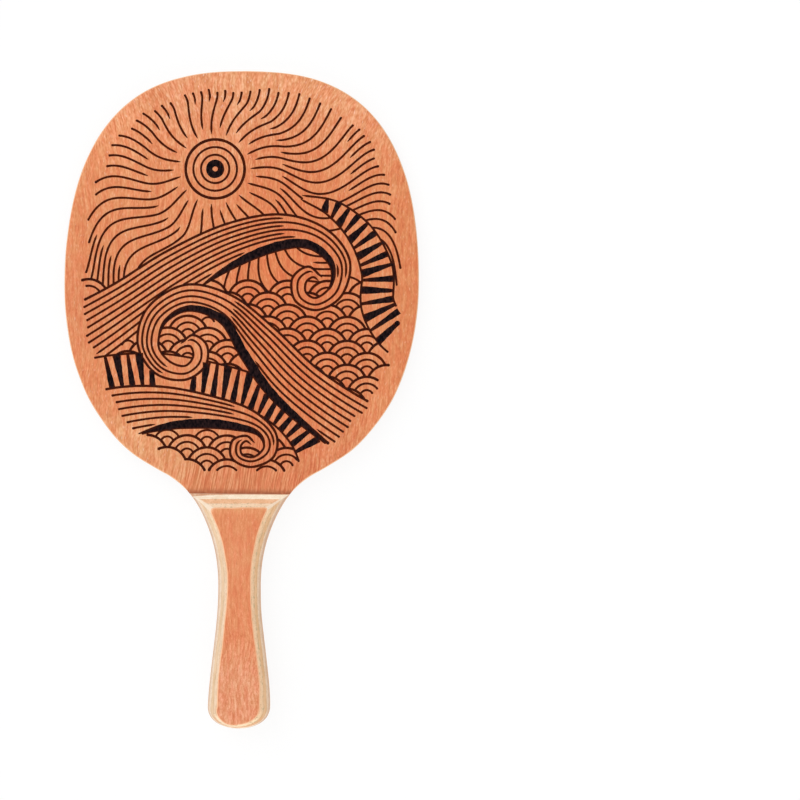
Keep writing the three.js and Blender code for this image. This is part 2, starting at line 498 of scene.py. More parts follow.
@dataclass
class HandleScale:
    """A scale of the handle: five plies, bevelled all round up to softened mitred corners.

    The bevel was sanded by hand, so its reach changes along each side. The marks give the
    distances from the butt end along the outline at which the reaches are stated. The shoulder is
    square up to its own land, and its left end was sanded back a little further there. The arris
    is the rounding between the bevel and the face. Ease and mitre are for the left and the right.
    Trial points are those that the outline is worked out at for each point that is kept.
    """

    side: Side
    shoulder: float = SHOULDER
    marks: tuple[float, ...] = (0, 6, 12, 18, 24, 40, 70, 100, 134, 150)
    left: tuple[float, ...] = (2.75, 1.65, 3.3, 5.1, 6.0, 5.2, 5.1, 5.9, 5.4, 5.7)
    right: tuple[float, ...] = (2.75, 3.3, 4.6, 6.0, 6.3, 5.2, 5.5, 5.8, 6.7, 7.2)
    blur: float = 3.0
    sanded: float = 0.14
    sanded_wave: float = 31.0
    sanded_from: float = 20.0
    left_top: float = 8.65
    right_top: float = 8.1
    left_toe: float = 1.3
    toe_power: float = 4.5
    stack: Stack = field(default_factory=Stack)
    seed: int = 11
    land: float = 0.14
    shoulder_land: float = 0.32
    crown: float = 0.02
    shoulder_crown: float = -0.04
    butt_crown: float = 0.17
    butt_reach: tuple[float, float] = (12.0, 30.0)
    arris: float = 1.4
    arris_fall: float = 0.32
    arris_turns: int = 5
    arris_reach: tuple[float, float] = (0.35, 0.9)
    ease: tuple[float, float] = (0.9, 1.5)
    mitre: tuple[float, float] = (3.4, 2.2)
    least_mitre: float = 0.3
    mitre_slack: float = 1.2
    # How far along each mitre the wood is worn paler, with a painted highlight on the ridge.
    rubbed_highlight: float = 1.5
    edge_wander: Wobble = Wobble(31, 0.2, 21.0)
    step: float = 1.0
    trial_points: int = 4
    edge_points: int = 44
    mitre_points: int = 7
    thick_rings: int = 4
    thin_rings: int = 2
    names: tuple[str, ...] = (
        "inner_veneer", "inner_crossband", "core", "outer_crossband", "face_veneer"
    )

    def reach(self, distance: Points, hand: int) -> Points:
        """Gives how far the bevel reaches in beside the handle.

        Args:
            distance: distances from the butt end along the outline.
            hand: 1 on the right and -1 on the left, seen from the scale's own face.

        Returns:
            The bevel's reach at each distance.
        """
        steady = read_off(distance, self.marks, self.right if hand > 0 else self.left, self.blur)
        worked = Wobble(self.seed + 3 * hand, self.sanded, self.sanded_wave).at(distance)
        return steady + worked * np.clip(distance / self.sanded_from, 0, 1)

    def edge_inset(self, distance: Points, hand: int, rise: float, turn: float, eased: float) -> Points:
        """Gives the bevel's inset from the drawn outline at a height over the tang.

        Args:
            distance: distances from the butt end along the outline.
            hand: 1 on the right and -1 on the left, seen from the scale's own face.
            rise: the height over the tang.
            turn: how much of the arris is passed.
            eased: a further inset, the same at every distance.

        Returns:
            The inset at each distance.
        """
        crown = np.interp(distance, self.butt_reach, (self.butt_crown, self.crown))
        share = self.share(rise, turn, self.land, crown)
        proud = OUTLINE.proud(distance, hand * self.side.value)
        return self.reach(distance, hand) * share + eased - proud

    def share(self, rise: float, turn: float, land: float, crown: Points | float) -> Points | float:
        """Gives the share of the bevel's reach at a height over the tang.

        Args:
            rise: the height over the tang.
            turn: how much of the arris is passed.
            land: the height of the square edge under the bevel.
            crown: how much the bevel bulges out, as a share of its reach.

        Returns:
            The share.
        """
        low = min(rise, self.stack.thickness - self.arris * self.arris_fall)
        t = max(low - land, 0) / (self.stack.thickness - land)
        straight = t - crown * math.sin(math.pi * t)
        return straight + (1 - straight) * turn

    def plan(self, rise: float, turn: float, extra: float) -> tuple[Points, Points]:
        """Gives the scale's loop at a height over the tang.

        Args:
            rise: the height over the tang.
            turn: how much of the arris is passed.
            extra: a further inset, the same all round.

        Returns:
            The closed loop of (x, height), which starts at the butt end's middle, and how worn
            each of its points is, which also sets a painted highlight along the mitres.
        """
        share = self.share(rise, turn, self.land, self.crown)
        top_share = self.share(rise, turn, self.shoulder_land, self.shoulder_crown)
        sides, turns, corners, turned = [], [], [], []
        count = int(OUTLINE.distance_at(self.shoulder) / self.step)
        toe = self.left_toe * float(np.interp(rise, self.stack.levels[:3], (0, 1, 0)))
        for hand in (1, -1):
            eased = extra * self.ease[hand > 0]
            turned.append((self.least_mitre + self.mitre[hand > 0] * share) * self.mitre_slack)
            fall = self.right_top * top_share if hand > 0 else self.left_top * top_share + toe
            top = self.shoulder - eased - fall
            whole = self.edge_inset(OUTLINE.distance, hand, rise, turn, eased)
            last = OUTLINE.distance_at(top, whole)
            distance = np.linspace(0, last, self.trial_points * count)
            half = OUTLINE.at(distance, self.edge_inset(distance, hand, rise, turn, eased))
            half[0, 0] = 0
            half[-1, 1] = top
            corners.append(half[-1] * [hand, 1])
            kept = np.linspace(0, last - turned[-1], count)
            line = np.stack([np.interp(kept, distance, half[:, i]) for i in (0, 1)], axis=1)
            sides.append(line * [hand, 1])
        across = corners[1] - corners[0]
        unit = across / np.linalg.norm(across)
        t = np.linspace(0, 1, self.mitre_points + 2)[1:-1, None]
        for hand, line, corner, reach in zip((1, -1), sides, corners, turned):
            start, end = line[-1], corner + unit * hand * reach
            turns.append((1 - t) ** 2 * start + 2 * (1 - t) * t * corner + t**2 * end)
        first, last = corners[0] + unit * turned[0], corners[1] - unit * turned[1]
        s = np.linspace(0, 1, self.edge_points)[:, None]
        edge = first + (last - first) * s
        edge[:, 1] += toe * (s - s**self.toe_power)[:, 0]
        edge[:, 1] += self.edge_wander.at(edge[:, 0]) * np.sin(s[:, 0] * math.pi) * share
        loop = np.vstack([sides[0], turns[0], edge, turns[1][::-1], sides[1][1:][::-1]])
        # Worn wood with a painted highlight along each mitre's ridge.
        bend = np.minimum(self.rubbed_highlight * np.sin(np.pi * t[:, 0]), 1)
        worn = [np.zeros(count), bend, np.zeros(self.edge_points), bend[::-1], np.zeros(count - 1)]
        return loop * [self.side.value, 1], np.concatenate(worn)

    def ring(self, rise: float, turn: float = 0.0, extra: float = 0.0) -> Ring:
        """Gives a ring at a height over the tang.

        Args:
            rise: the height over the tang.
            turn: how much of the arris is passed.
            extra: a further inset, the same all round.

        Returns:
            The ring.
        """
        base = FRONT_LEVEL if self.side is Side.FRONT else BACK_LEVEL
        loop, worn = self.plan(rise, turn, extra)
        return Ring.at(loop, base + self.side.value * rise, worn)

    def rings(self, low: float, high: float) -> list[Ring]:
        """Gives the rings of a ply.

        Args:
            low: the height of its lower face over the tang.
            high: the height of its upper face.

        Returns:
            The rings, from the lower one.
        """
        top = self.stack.thickness
        edge = top - self.arris * self.arris_fall
        count = self.thick_rings if high - low > self.stack.veneer else self.thin_rings
        rises = list(np.linspace(low, min(high, edge), count))
        for land in (self.shoulder_land, self.land):
            if low < land < high:
                rises.insert(1, land)
        made = [self.ring(rise) for rise in rises]
        if high > edge:
            for turn in np.linspace(0, 1, self.arris_turns + 1)[1:]:
                rise = edge + (top - edge) * (1 - (1 - turn) ** 2)
                made.append(self.ring(rise, turn, self.arris * self.arris_reach[0] * turn**2))
            made.append(self.ring(top, 1.0, self.arris * self.arris_reach[1]))
        return made

    def build(self) -> list[tuple[Piece, str]]:
        """Makes the five plies.

        Returns:
            Each piece with the node that it stands for.
        """
        levels = self.stack.levels
        made = []
        for name, low, high in zip(self.names, levels[:-1], levels[1:]):
            node = f"{self.side.name.lower()}_scale_{name}"
            made.append((closed_mesh(f"{node}_wood", self.rings(low, high)), node))
        return made

    def dress(self, plies: list[tuple[Piece, str]], finishes: "Finishes") -> None:
        """Dresses the five plies, of which the outer two are of other woods than the inner two.

        Args:
            plies: each ply with the node that it stands for.
            finishes: the racket's finishes.
        """
        for piece, node in plies:
            inner = "inner" in node
            veneer = finishes.hidden_veneer if inner else finishes.handle_face
            crossband = finishes.pale if inner else finishes.tawny
            dress_ply(piece, node, veneer, crossband, finishes.core)


def smooth_path(points: list[tuple[float, float]], step: float = 0.8) -> Points:
    """Gives a smooth curve through points.

    Args:
        points: the points (x, height) that it passes.
        step: the distance between the points given back.

    Returns:
        Points along the curve.
    """
    p = np.asarray(points, float)
    p = np.vstack([2 * p[0] - p[1], p, 2 * p[-1] - p[-2]])
    out = []
    for a, b, c, d in zip(p[:-3], p[1:-2], p[2:-1], p[3:]):
        count = max(2, int(np.linalg.norm(c - b) / step))
        t = (np.arange(count) / count)[:, None]
        cubic = (3 * b - a - 3 * c + d) * t**3 + (2 * a - 5 * b + 4 * c - d) * t**2
        out.append(0.5 * (2 * b + (c - a) * t + cubic))
    return np.vstack([*out, p[-2]])


def travelled(path: Points) -> Points:
    """Gives the distance along a path at each of its points."""
    return np.concatenate([[0.0], np.cumsum(np.linalg.norm(np.diff(path, axis=0), axis=1))])


def even_path(path: Points, count: int) -> Points:
    """Spreads points evenly along a path.

    Args:
        path: the path.
        count: how many points it gets.

    Returns:
        The points.
    """
    along = travelled(path)
    at = np.linspace(0, along[-1], count)
    return np.stack([np.interp(at, along, path[:, i]) for i in (0, 1)], axis=1)


def square_to(path: Points) -> Points:
    """Gives the directions square to a path.

    Args:
        path: the path.

    Returns:
        The unit vector to the left of the path at each of its points.
    """
    tangent = np.gradient(path, axis=0)
    tangent /= np.linalg.norm(tangent, axis=1)[:, None] + TINY
    return np.stack([-tangent[:, 1], tangent[:, 0]], axis=1)


def directions(angles: Points) -> Points:
    """Gives the unit vectors at some angles."""
    return np.stack([np.cos(angles), np.sin(angles)], axis=1)


def covered(area: Points, points: Points) -> Points:
    """Tells which points lie inside a closed area.

    Args:
        area: the area's corners.
        points: the points to test.

    Returns:
        One truth value for each point.
    """
    inside = np.zeros(len(points), bool)
    low, high = area.min(axis=0), area.max(axis=0)
    near = np.nonzero(((points > low) & (points < high)).all(axis=1))[0]
    if len(near) == 0:
        return inside
    x, y = points[near].T[:, :, None]
    x0, y0 = area.T[:, None, :]
    x1, y1 = np.roll(area, -1, axis=0).T[:, None, :]
    spans = (y0 > y) != (y1 > y)
    slope = (x1 - x0) / np.where(y1 == y0, 1.0, y1 - y0)
    inside[near] = (spans & (x < slope * (y - y0) + x0)).sum(axis=1) % 2 == 1
    return inside


@dataclass(frozen=True)
class Stroke:
    """A printed line: its path, its width and the shares of that width from its start to its end.

    A fine stroke also runs out to a point where it ends by itself. A square one is cut off straight
    there, and where a motif in front covers it.
    """

    path: Points
    width: float
    profile: tuple[float, ...] = (1.0, 1.0)
    fine: bool = True
    square: bool = False


@dataclass(frozen=True)
class Inked:
    """A stretch of a stroke that shows: its path, half its width along it and its round ends."""

    path: Points
    half: Points
    round_ends: list[int]


@dataclass(frozen=True)
class Motif:
    """A shape of the print: the area that it hides behind it, and the strokes drawn on it."""

    cover: Points | None
    strokes: list[Stroke]


@dataclass
class LinePrint:
    """The blade's print: rolling swells, barred bands and rows of arches under a sun.

    Line, bold and shade are the widths of its lines, of the bars and sun, and of the crescents. A
    ring of the sun or of an arch has a share of the whole radius and a share of the line's width.
    """

    level: float = FRONT_LEVEL
    thickness: float = 0.05
    line: float = 1.27
    bold: float = 3.9
    shade: float = 5.2
    shade_gap: float = 0.95
    edge_gap: float = 1.76
    least_gap: float = 2.2
    border: tuple[float, float] = (10.0, 12.8)
    borders: int = 5
    lowest: float = 148.9
    least_run: float = 6.5
    taper: float = 2.4
    point: float = 0.3
    blot: float = 1.12
    waver: tuple[float, float] = (0.07, 9.0)
    sample: float = 0.4
    cover_step: int = 3
    path_step: int = 2
    weld: float = 1e-5
    chunk: int = 8
    end_points: int = 10
    thin_depth: tuple[float, float] = (0.55, 0.95)
    swell_points: int = 420
    swell_slip: int = 70
    swell_ease: int = 12
    swell_edges: tuple[float, float] = (1.15, 1.05)
    least_flow: int = 10
    bulge_power: float = 0.8
    least_bulge: float = 0.05
    band_points: int = 300
    bar_pitch: float = 6.2
    bar_points: int = 12
    bar_lean: int = 3
    bar_shares: tuple[tuple[float, float], ...] = ((0.45, 1.0), (1.25, 0.5))
    sun_place: tuple[float, float] = (-16.0, 323.0)
    sun_radius: float = 17.0
    sun_rings: tuple[tuple[float, float], ...] = ((0.74, 1.0), (0.48, 1.0), (1.0, 1.3))
    sun_eye: float = 0.2
    sun_points: int = 120
    rays: int = 120
    ray_starts: tuple[float, ...] = (20.5, 24.0, 39.1, 78.2)
    ray_reach: float = 150.0
    ray_step: float = 0.8
    ray_sway: float = 0.13
    ray_wave: float = 12.0
    ray_slip: float = 1.3
    ray_calm: float = 25.0
    arch_pitch: float = 23.0
    arch_rings: tuple[tuple[float, float], ...] = ((1.0, 1.2), (2 / 3, 1.0), (1 / 3, 1.0))
    arch_rise: float = 0.6
    arch_points: int = 26
    arch_field: tuple[float, float, float, float] = (-100.0, 100.0, 130.0, 250.0)
    seed: int = 4

    def facing(self, outer: Points, inner: Points) -> Points:
        """Finds where a swell's inner edge faces each point of its outer edge.

        Args:
            outer: points spread evenly along the outer edge.
            inner: as many points spread evenly along the inner edge.

        Returns:
            The places, counted in points of the inner edge. They never run back.
        """
        place, ease = np.arange(len(outer)), self.swell_ease
        off = np.linalg.norm(outer[:, None] - inner, axis=2)
        off[np.abs(place[:, None] - place) > self.swell_slip] = np.inf
        nearest = np.pad(np.maximum.accumulate(off.argmin(axis=1)), ease, "edge")
        return np.convolve(nearest, np.full(2 * ease + 1, 1 / (2 * ease + 1)), "valid")

    def swell(
        self,
        back: list[tuple[float, float]],
        face: list[tuple[float, float]],
        lines: int,
        shaded: tuple[float, float],
    ) -> Motif:
        """Draws a rolling swell: flow lines between its back and its face, which meet in the curl.

        Args:
            back: points of the outer edge.
            face: points of the inner edge.
            lines: how many spaces lie between the two edges.
            shaded: where the dark crescent along the inner edge starts and ends, as shares.

        Returns:
            The motif.
        """
        count = self.swell_points
        place = np.arange(count)
        outer, inner = even_path(smooth_path(back), count), even_path(smooth_path(face), count)
        across = self.facing(outer, inner)
        opposite = np.stack([np.interp(across, place, inner[:, i]) for i in (0, 1)], axis=1)
        gap = np.linalg.norm(outer - opposite, axis=1) / lines
        start, end = (int(share * count) for share in shaded)
        bulge = np.zeros(count)
        bulge[start:end] = np.sin(np.linspace(0, math.pi, end - start)) ** self.bulge_power
        outward = square_to(inner)
        outward *= np.sign(np.sum(outward * (outer - inner)))
        crescent = (inner + outward * (bulge * self.shade / 2)[:, None])[start:end]
        along = travelled(crescent)
        profile = np.interp(np.linspace(0, along[-1], count), along, bulge[start:end])
        strokes = [
            Stroke(outer, self.line * self.swell_edges[0]),
            Stroke(inner, self.line * self.swell_edges[1]),
            Stroke(crescent, self.shade, tuple(np.maximum(profile, self.least_bulge))),
        ]
        shaded_off = np.interp(across, place, bulge) * self.shade
        taken = np.maximum(shaded_off + self.shade_gap, self.edge_gap)
        for k in range(1, lines):
            doubling = k & -k
            free = (gap * (lines - k) > taken) & (np.cumsum(gap * doubling < self.least_gap) == 0)
            path = outer + (opposite - outer) * k / lines
            for run in np.split(place, np.nonzero(np.diff(free))[0] + 1):
                if free[run[0]] and len(run) > self.least_flow:
                    strokes.append(Stroke(path[run], self.line))
        return Motif(np.vstack([outer, inner[::-1]]), strokes)

    def band(self, middle: list[tuple[float, float]], half_widths: list[float]) -> Motif:
        """Draws a band with bold bars square to its middle.

        Args:
            middle: points of the band's middle.
            half_widths: half the band's width at places spread evenly along it.

        Returns:
            The motif.
        """
        count = self.band_points
        path = even_path(smooth_path(middle), count)
        places = np.linspace(0, 1, len(half_widths))
        half = np.interp(np.linspace(0, 1, count), places, half_widths)[:, None]
        left, right = path + square_to(path) * half, path - square_to(path) * half
        strokes = [Stroke(left, self.line), Stroke(right, self.line)]
        bars = int(travelled(path)[-1] / self.bar_pitch) + 1
        for bar in range(bars):
            at = int((bar + 0.5) / bars * (count - 1))
            bowed = np.linspace(left[at], right[min(at + self.bar_lean, count - 1)], self.bar_points)
            shares = self.bar_shares[bar % 2]
            strokes.append(Stroke(bowed, self.bold, shares, fine=False, square=True))
        return Motif(np.vstack([left, right[::-1]]), strokes)

    def sun(self) -> list[Motif]:
        """Draws the sun's rings, and behind them its wavy rays, which split as they spread.

        Returns:
            The motif of the rings and that of the rays.
        """
        centre = np.array(self.sun_place)
        ring = directions(np.linspace(0, math.tau, self.sun_points)) * self.sun_radius
        sizes = [(radius, self.line * width) for radius, width in self.sun_rings]
        sizes.append((self.sun_eye, self.bold))
        rings = [Stroke(centre + ring * share, width, fine=False) for share, width in sizes]
        beams = []
        orders = range(len(self.ray_starts))
        for ray in range(self.rays):
            order = next(v for v in orders if ray % 2 ** (orders[-1] - v) == 0)
            reach = np.arange(self.ray_starts[order], self.ray_reach, self.ray_step)
            base = math.tau * ray / self.rays
            grown = np.minimum(1, (reach - self.sun_radius) / self.ray_calm)
            wave = np.sin(reach / self.ray_wave + self.ray_slip * math.sin(base))
            beam = centre + directions(base + self.ray_sway * wave * grown) * reach[:, None]
            beams.append(Stroke(beam, self.line))
        return [Motif(centre + ring, rings), Motif(None, beams)]

    def arches(self) -> list[Motif]:
        """Draws rows of overlapping arches, each in front of the row above it.

        Returns:
            A motif for each arch.
        """
        x0, x1, y0, y1 = self.arch_field
        radius = self.arch_pitch / 2
        rise = radius * self.arch_rise
        half = directions(np.linspace(0, math.pi, self.arch_points)) * radius
        made = []
        for row in range(int((y1 - y0) / rise) + 1):
            for column in range(int((x1 - x0) / self.arch_pitch) + 2):
                foot = np.array([x0 + (column + 0.5 * (row % 2)) * self.arch_pitch, y0 + row * rise])
                skirt = foot + np.array([[-radius, -rise * 2], [radius, -rise * 2]])
                strokes = [
                    Stroke(foot + half * share, self.line * width, fine=False)
                    for share, width in self.arch_rings
                ]
                made.append(Motif(np.vstack([foot + half, skirt]), strokes))
        return made

    def compose(self) -> list[Motif]:
        """Lays the motifs out on the blade.

        Returns:
            The motifs, the front one first.
        """
        middle_swell = self.swell(
            [(104, 176), (74, 189), (44, 208), (18, 232), (-6, 250), (-32, 256), (-54, 243), (-60, 222),
             (-50, 205), (-33, 201), (-21, 209), (-20, 221), (-28, 227), (-35, 222)],
            [(104, 136), (72, 151), (42, 170), (16, 192), (0, 214), (-12, 234), (-30, 241), (-44, 234),
             (-48, 221), (-42, 212), (-33, 209), (-28, 214), (-29, 220), (-33, 221)],
            lines=9,
            shaded=(0.2, 0.84),
        )
        high_swell = self.swell(
            [(-104, 240), (-74, 256), (-44, 275), (-10, 291), (22, 297), (48, 289), (62, 271),
             (58, 251), (44, 242), (31, 247), (29, 260), (38, 267), (46, 261)],
            [(-104, 196), (-74, 218), (-46, 240), (-14, 261), (14, 274), (36, 278), (50, 269),
             (51, 256), (43, 249), (37, 252), (37, 258), (41, 261), (44, 259)],
            lines=9,
            shaded=(0.435, 0.88),
        )
        low_swell = self.swell(
            [(-104, 188), (-74, 196), (-46, 197), (-18, 192), (6, 184), (20, 171), (19, 157), (6, 151),
             (-5, 156), (-5, 166), (3, 169), (8, 165)],
            [(-104, 152), (-74, 165), (-46, 172), (-22, 173.5), (-4, 172.5), (9, 170), (13.5, 163),
             (8, 157), (1, 158), (0, 163), (3, 166), (6, 164)],
            lines=7,
            shaded=(0.3, 0.82),
        )
        low_band = self.band(
            [(-104, 199), (-74, 205), (-46, 206), (-17, 201), (7, 194), (25, 183), (37, 169),
             (43, 154), (45, 138)],
            [10, 10, 10, 10, 10, 10, 9.5, 9, 9],
        )
        side_band = self.band(
            [(104, 219), (88, 229), (78.5, 245), (78, 265), (69, 285), (53, 300), (34, 307)],
            [11, 10.5, 9.5, 9, 7.5, 5, 1.2],
        )
        return [low_swell, middle_swell, low_band, high_swell, side_band, *self.arches(), *self.sun()]

    def stretch(
        self, stroke: Stroke, path: Points, half: Points, clear: Points, span: tuple[int, int]
    ) -> Inked:
        """Shapes the two ends of a stretch that shows.

        Args:
            stroke: the stroke.
            path: points spread evenly along the whole of it.
            half: half the width at each point of the stretch.
            clear: which points of the stroke no motif in front covers.
            span: the numbers of the stretch's first point and of the one after its last.

        Returns:
            The stretch.
        """
        a, b = span
        along = np.arange(b - a) * self.sample
        ends = (
            (0, a == 0, a > 0 and clear[a - 1], along),
            (-1, b == len(path), b < len(path) and clear[b], along[::-1]),
        )
        round_ends = []
        for end, own, loose, off in ends:
            if own and stroke.fine:
                half = half * np.interp(off, [0, self.taper], [self.point, 1])
            elif loose:
                half = half * np.interp(off, [0, self.taper / 2], [self.blot, 1])
            if loose or not stroke.square:
                round_ends.append(end)
        return Inked(path[a:b], half, round_ends)

    def visible(self, motifs: list[Motif]) -> list[Inked]:
        """Gives the stretches of the strokes that show.

        A stroke ends raggedly inside the blade's edge, and where a motif in front covers it.

        Args:
            motifs: the motifs, the front one first.

        Returns:
            The stretches that show.
        """
        draw = random.Random(self.seed)
        borders = [OUTLINE.loop(inset) for inset in np.linspace(*self.border, self.borders)]
        shown, front = [], []
        for motif in motifs:
            for stroke in motif.strokes:
                count = int(travelled(stroke.path)[-1] / self.sample) + 2
                path = even_path(stroke.path, count)
                places = np.linspace(0, 1, len(stroke.profile))
                width = stroke.width * np.interp(np.linspace(0, 1, count), places, stroke.profile)
                border = borders[draw.randrange(len(borders))]
                inner = covered(border, path) & (path[:, 1] > self.lowest)
                clear = np.ones(count, bool)
                for area in front:
                    clear &= ~covered(area, path)
                keep = np.concatenate([[False], inner & clear, [False]])
                starts = np.nonzero(~keep[:-1] & keep[1:])[0]
                stops = np.nonzero(keep[:-1] & ~keep[1:])[0]
                for a, b in zip(starts, stops):
                    if (b - a) * self.sample >= self.least_run:
                        along = np.arange(b - a) * self.sample
                        wavered = 1 + Wobble(len(shown), *self.waver).at(along)
                        half = width[a:b] / 2 * wavered
                        shown.append(self.stretch(stroke, path, half, clear, (a, b)))
            if motif.cover is not None:
                front.append(motif.cover[:: self.cover_step])
        return shown

    def ribbon(self, line: Inked) -> list[Points]:
        """Gives a line's outline as short overlapping polygons, with a circle at each round end.

        Args:
            line: the line.

        Returns:
            The polygons, whose union is the line.
        """
        last = len(line.path) - 1
        kept = np.unique(np.append(np.arange(0, last + 1, self.path_step), last))
        path, half = line.path[kept], line.half[kept]
        side = square_to(path) * half[:, None]
        left, right = path + side, path - side
        pieces = [
            np.vstack([right[i : i + self.chunk + 1], left[i : i + self.chunk + 1][::-1]])
            for i in range(0, len(path) - 1, self.chunk)
        ]
        circle = directions(np.linspace(0, math.tau, self.end_points, endpoint=False))
        return [*pieces, *(path[end] + circle * half[end] for end in line.round_ends)]

    def thinness(
        self, points: list[Vector], triangles: list[list[int]], walls: list[tuple[int, int]]
    ) -> Points:
        """Gives 1 for the triangles of thin lines and 0 for those deep inside the bold areas.

        Args:
            points: the corners of the inked areas.
            triangles: the triangles that fill them.
            walls: the edges round them.

        Returns:
            One number for each triangle.
        """
        tree = KDTree(2 * len(walls))
        for number, (a, b) in enumerate(walls):
            tree.insert(points[a].to_3d(), 2 * number)
            tree.insert(((points[a] + points[b]) / 2).to_3d(), 2 * number + 1)
        tree.balance()
        middles = [sum((points[i] for i in triangle), Vector((0, 0))) / 3 for triangle in triangles]
        return np.interp([tree.find(middle.to_3d())[2] for middle in middles], self.thin_depth, (1, 0))

    def build(self) -> Piece:
        """Makes the ink as one thin piece on the blade's face.

        Returns:
            The piece.
        """
        corners, polygons = [], []
        shown = self.visible(self.compose())
        for line in shown:
            for polygon in self.ribbon(line):
                polygons.append(list(range(len(corners), len(corners) + len(polygon))))
                corners.extend(Vector(point) for point in polygon)
        flat, _, every, _, _, sources = delaunay_2d_cdt(corners, [], polygons, FILLED_ONLY, self.weld)
        triangles = [triangle for triangle, inside in zip(every, sources) if inside]
        count = len(flat)
        used = dict.fromkeys(
            edge for triangle in triangles for edge in zip(triangle, triangle[1:] + triangle[:1])
        )
        walls = [edge for edge in used if edge[::-1] not in used]
        plan = np.array([tuple(point) for point in flat])
        levels = (self.level, self.level + self.thickness)
        vertices = np.vstack([np.column_stack([plan, np.full(count, z)]) for z in levels])
        faces = [tuple(reversed(triangle)) for triangle in triangles]
        faces += [tuple(corner + count for corner in triangle) for triangle in triangles]
        faces += [(a, b, b + count, a + count) for a, b in walls]
        thin = self.thinness(flat, triangles, walls)
        worn = np.concatenate([thin, thin, np.zeros(len(walls))])
        piece = add_mesh("blade_print_ink", vertices, faces, worn, Given.ON_FACES)
        LOG.info("print: %d strokes, %d triangles on the face", len(shown), len(triangles))
        return piece

    def dress(self, piece: Piece, finishes: "Finishes") -> None:
        """Dresses the ink."""
        dress(piece, finishes.ink.material())


@dataclass(frozen=True)
class Figure:
    """A noise pattern: the lengths of its features in mm along X, Y and Z, its detail and its shift."""

    cell: tuple[float, float, float]
    detail: float
    shift: float


class Nodes:
    """The nodes of a material or a world, and the ways in which they are added and joined."""

    def __init__(self, tree: bpy.types.NodeTree) -> None:
        """Takes the tree that the nodes go into."""
        self.tree = tree

    def add(self, kind: str, **settings: object) -> bpy.types.Node:
        """Adds a node.

        Args:
            kind: the node's type.
            settings: its properties.

        Returns:
            The node.
        """
        node = self.tree.nodes.new(kind)
        for key, value in settings.items():
            setattr(node, key, value)
        return node

    def feed(self, socket: Socket, value: object) -> None:
        """Links a socket to another one, or sets its value.

        Args:
            socket: a node's input.
            value: another node's output, a number, a vector or a colour.
        """
        if isinstance(value, Socket):
            self.tree.links.new(value, socket)
        elif isinstance(value, tuple) and len(socket.default_value) == 4:
            socket.default_value = (*value, 1.0)
        else:
            socket.default_value = value

    def fed(self, node: bpy.types.Node, *values: object) -> Socket:
        """Feeds a node.

        Args:
            node: the node.
            values: what its first inputs get.

        Returns:
            Its first output.
        """
        for socket, value in zip(node.inputs, values):
            self.feed(socket, value)
        return node.outputs[0]

    def vector(self, operation: str, *values: object) -> Socket:
        """Works vectors out."""
        return self.fed(self.add("ShaderNodeVectorMath", operation=operation), *values)

    def math(self, operation: str, *values: object) -> Socket:
        """Works numbers out."""
        return self.fed(self.add("ShaderNodeMath", operation=operation), *values)

    def times(self, one: Socket, other: object) -> Socket:
        """Multiplies two numbers."""
        return self.math("MULTIPLY", one, other)

    def total(self, *terms: tuple[Socket, float]) -> Socket:
        """Adds numbers up.

        Args:
            terms: each number with its weight.

        Returns:
            Their sum.
        """
        sum_so_far = self.times(*terms[0])
        for value, weight in terms[1:]:
            sum_so_far = self.math("ADD", sum_so_far, self.times(value, weight))
        return sum_so_far

    def spread(
        self, value: object, low: float, high: float, to_low: float = 0.0, to_high: float = 1.0
    ) -> Socket:
        """Maps a number's range smoothly to another range."""
        node = self.add("ShaderNodeMapRange", interpolation_type="SMOOTHSTEP")
        return self.fed(node, value, low, high, to_low, to_high)

    def blend(self, share: object, one: object, other: object, how: str = "MIX") -> Socket:
        """Mixes two colours.

        Args:
            share: how much of the other colour there is.
            one: the first colour.
            other: the other colour.
            how: the kind of mixing.

        Returns:
            The mixed colour.
        """
        node = self.add("ShaderNodeMix", data_type="RGBA", blend_type=how)
        for index, value in zip(COLOUR_INPUTS, (share, one, other)):
            self.feed(node.inputs[index], value)
        return node.outputs[COLOUR_OUTPUT]

    def tint(self, colour: Socket, tint: object) -> Socket:
        """Multiplies a colour by a tint."""
        return self.blend(1.0, colour, tint, "MULTIPLY")

    def ramp(self, value: object, stops: tuple[tuple[float, Colour], ...]) -> Socket:
        """Turns a number into a colour.

        Args:
            value: the number.
            stops: the colour at each of some numbers from 0 to 1.

        Returns:
            The colour.
        """
        node = self.add("ShaderNodeValToRGB")
        bar = node.color_ramp
        while len(bar.elements) < len(stops):
            bar.elements.new(0.5)
        for element, (at, colour) in zip(bar.elements, stops):
            element.position = at
            element.color = (*colour, 1.0)
        return self.fed(node, value)

    def seen(self) -> Socket:
        """Tells what is seen from what only lights.

        Returns:
            1 for rays of the camera, of reflections and through glass, and 0 for the light's own.
        """
        rays = self.add("ShaderNodeLightPath").outputs
        either = self.math("MAXIMUM", rays["Is Camera Ray"], rays["Is Glossy Ray"])
        return self.math("MAXIMUM", either, rays["Is Transmission Ray"])


